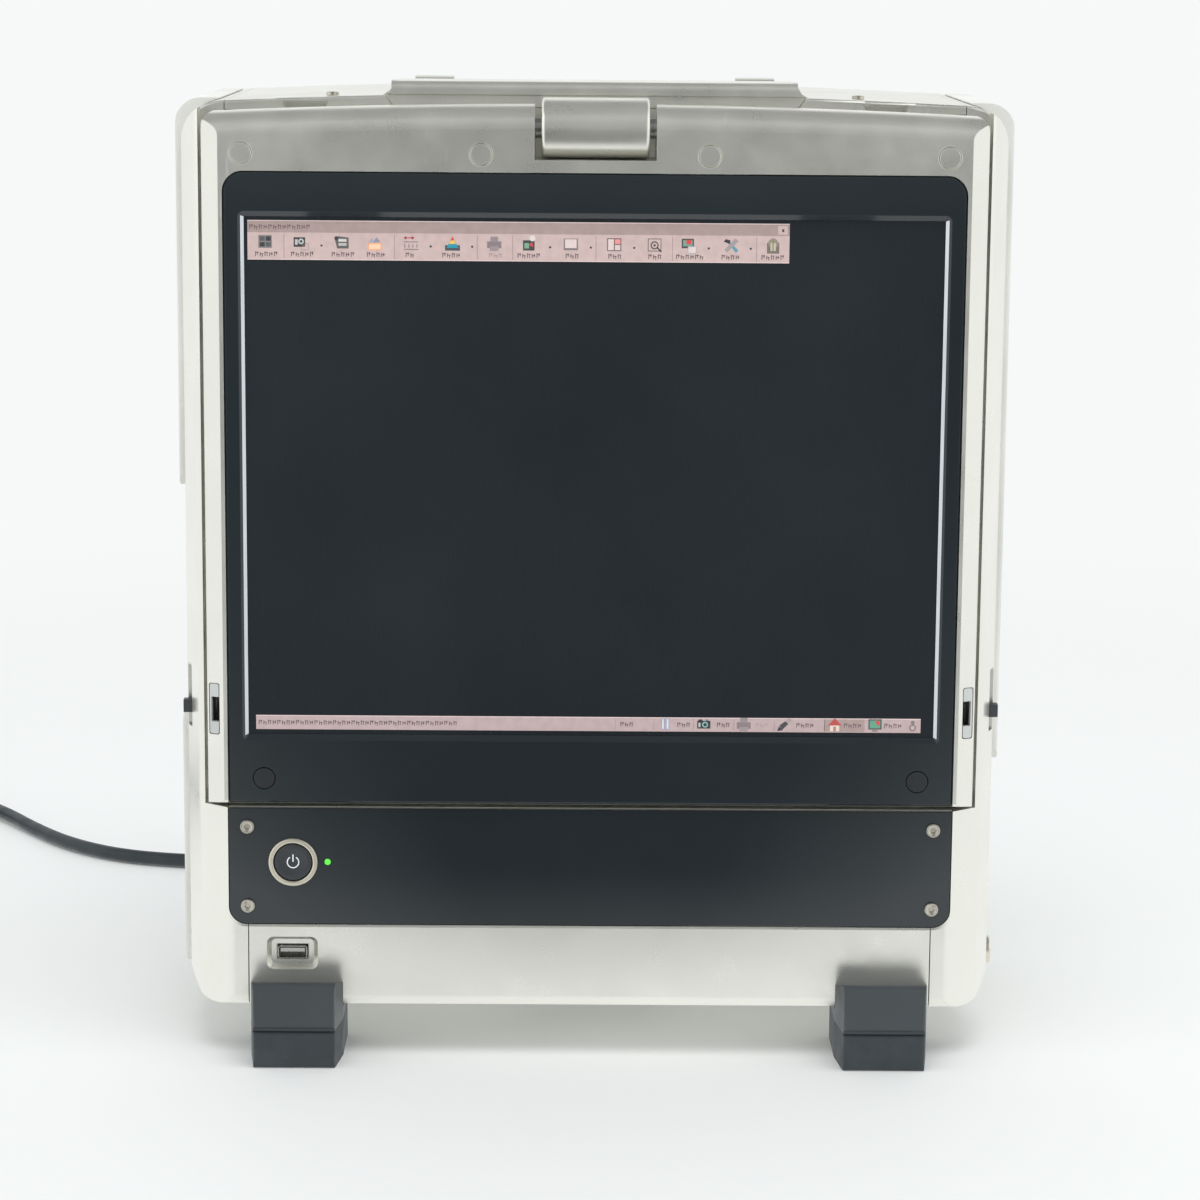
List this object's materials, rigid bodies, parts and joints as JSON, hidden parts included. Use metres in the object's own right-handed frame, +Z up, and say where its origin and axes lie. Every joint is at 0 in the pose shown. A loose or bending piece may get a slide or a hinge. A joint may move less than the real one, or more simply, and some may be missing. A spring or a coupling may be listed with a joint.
{
  "type": "digital microscope console",
  "caption": "Upright console of a digital microscope: silver cabinet with a top-hinged screen that swings up, carrying handle, dark feet, black lower fascia with power button, mains lead.",
  "frame": {"origin": "on the floor under the middle of the console's width and depth, the mains lead left out", "axes": "+X to the right as one faces the screen, +Y to the back, +Z up"},
  "size_m": [0.6588, 0.5306, 0.4409],
  "materials": {
    "silver_paint": "satin champagne-silver paint",
    "cover_plastic": "satin light grey",
    "gloss_black": "polished black",
    "display": "matt display film over a lit picture",
    "cap_silver": "satin silver",
    "cap_black": "satin black",
    "catch_plastic": "light grey",
    "cast_barrel": "satin silver paint on a casting",
    "steel": "machined",
    "screw_steel": "nickel plated",
    "ring_metal": "matte, pale champagne silver",
    "button_plastic": "satin dark grey",
    "led_green": "lit green lens",
    "foot_plastic": "satin dark blue-grey",
    "pad_rubber": "dark blue-grey rubber",
    "sheet_steel": "zinc plated sheet",
    "sheet_aluminium": "mill finish",
    "board_green": "solder mask",
    "drive_metal": "cast, with a dark label-free lid",
    "fan_plastic": "black",
    "guard_wire": "plated wire",
    "socket_metal": "plated",
    "inlet_plastic": "black",
    "slider_plastic": "satin dark grey",
    "cord_rubber": "satin black sheath",
    "tie_strap": "black strap"
  },
  "bodies": {
    "cabinet": {"side_casing_left": "silver_paint", "side_casing_right": "silver_paint", "upper_side_cover_left": "cover_plastic", "lower_side_cover_left": "cover_plastic", "side_cover_right": "cover_plastic", "top_casing": "silver_paint", "front_bulkhead": "silver_paint", "fascia": "gloss_black", "bottom_front_panel": "silver_paint", "rear_cover": "sheet_steel", "base_plate": "silver_paint", "chassis": "sheet_steel", "card_tray": "sheet_aluminium", "cross_members": "sheet_steel", "hinge_barrel": "cast_barrel", "handle_pins": "steel", "casing_screws": "screw_steel", "fascia_screws": "screw_steel", "power_ring": "ring_metal", "power_switch": "inlet_plastic", "status_light": "led_green", "usb_socket": "socket_metal", "power_supply": "sheet_steel", "main_board": "board_green", "camera_board": "board_green", "hard_drive": "drive_metal", "lamp_house": "sheet_aluminium", "light_guide_port": "ring_metal", "camera_socket": "socket_metal", "fan_frame": "fan_plastic", "fan_guard": "guard_wire", "rear_connectors": "socket_metal", "mains_inlet": "inlet_plastic", "rocker_frame": "inlet_plastic", "front_feet": "foot_plastic", "foot_pads": "pad_rubber", "rear_feet": "pad_rubber", "latch_spring_left": "steel", "latch_spring_right": "steel", "power_connector": "cord_rubber", "cord_tube": "cord_rubber", "cord_coil": "cord_rubber", "cord_tie": "tie_strap", "mains_plug": "cord_rubber"},
    "screen_unit": {"monitor_front_shell": "silver_paint", "monitor_panel": "gloss_black", "display_panel": "display", "monitor_back_cover": "silver_paint", "silver_caps": "cap_silver", "black_caps": "cap_black", "display_board": "board_green", "hinge_shaft": "steel", "hinge_knuckles": "steel", "catch_plates": "catch_plastic"},
    "handle": {"handle": "silver_paint"},
    "power_button": {"power_button": "button_plastic"},
    "mains_rocker": {"mains_rocker": "inlet_plastic"},
    "latch_left": {"latch_slider_left": "slider_plastic"},
    "latch_right": {"latch_slider_right": "slider_plastic"},
    "fan_rotor": {"fan_rotor": "fan_plastic"}
  },
  "joints": [
    {"name": "screen_tilt", "type": "hinge", "parent": "cabinet", "child": "screen_unit", "pos_m": [0, -0.0655, 0.4211], "axis": [-1, 0, 0], "range_deg": [0, 90]},
    {"name": "handle_fold", "type": "hinge", "parent": "cabinet", "child": "handle", "pos_m": [0, 0.027, 0.432], "axis": [-1, 0, 0], "range_deg": [0, 90]},
    {"name": "power_press", "type": "slide", "parent": "cabinet", "child": "power_button", "axis": [0, 1, 0], "range_m": [0, 0.002], "stiffness_N_per_m": 600, "springref_m": -0.002},
    {"name": "mains_switch", "type": "hinge", "parent": "cabinet", "child": "mains_rocker", "pos_m": [-0.062, 0.09, 0.065], "axis": [1, 0, 0], "range_deg": [-16, 0]},
    {"name": "latch_left_slide", "type": "slide", "parent": "cabinet", "child": "latch_left", "axis": [0, 0, 1], "range_m": [0, 0.008], "stiffness_N_per_m": 200, "springref_m": -0.004, "deforming": ["latch_spring_left"]},
    {"name": "latch_right_slide", "type": "slide", "parent": "cabinet", "child": "latch_right", "axis": [0, 0, 1], "range_m": [0, 0.008], "stiffness_N_per_m": 200, "springref_m": -0.004, "deforming": ["latch_spring_right"]},
    {"name": "fan_spin", "type": "hinge", "parent": "cabinet", "child": "fan_rotor", "pos_m": [0.088, 0.08, 0.313], "axis": [0, 1, 0], "continuous": true}
  ]
}
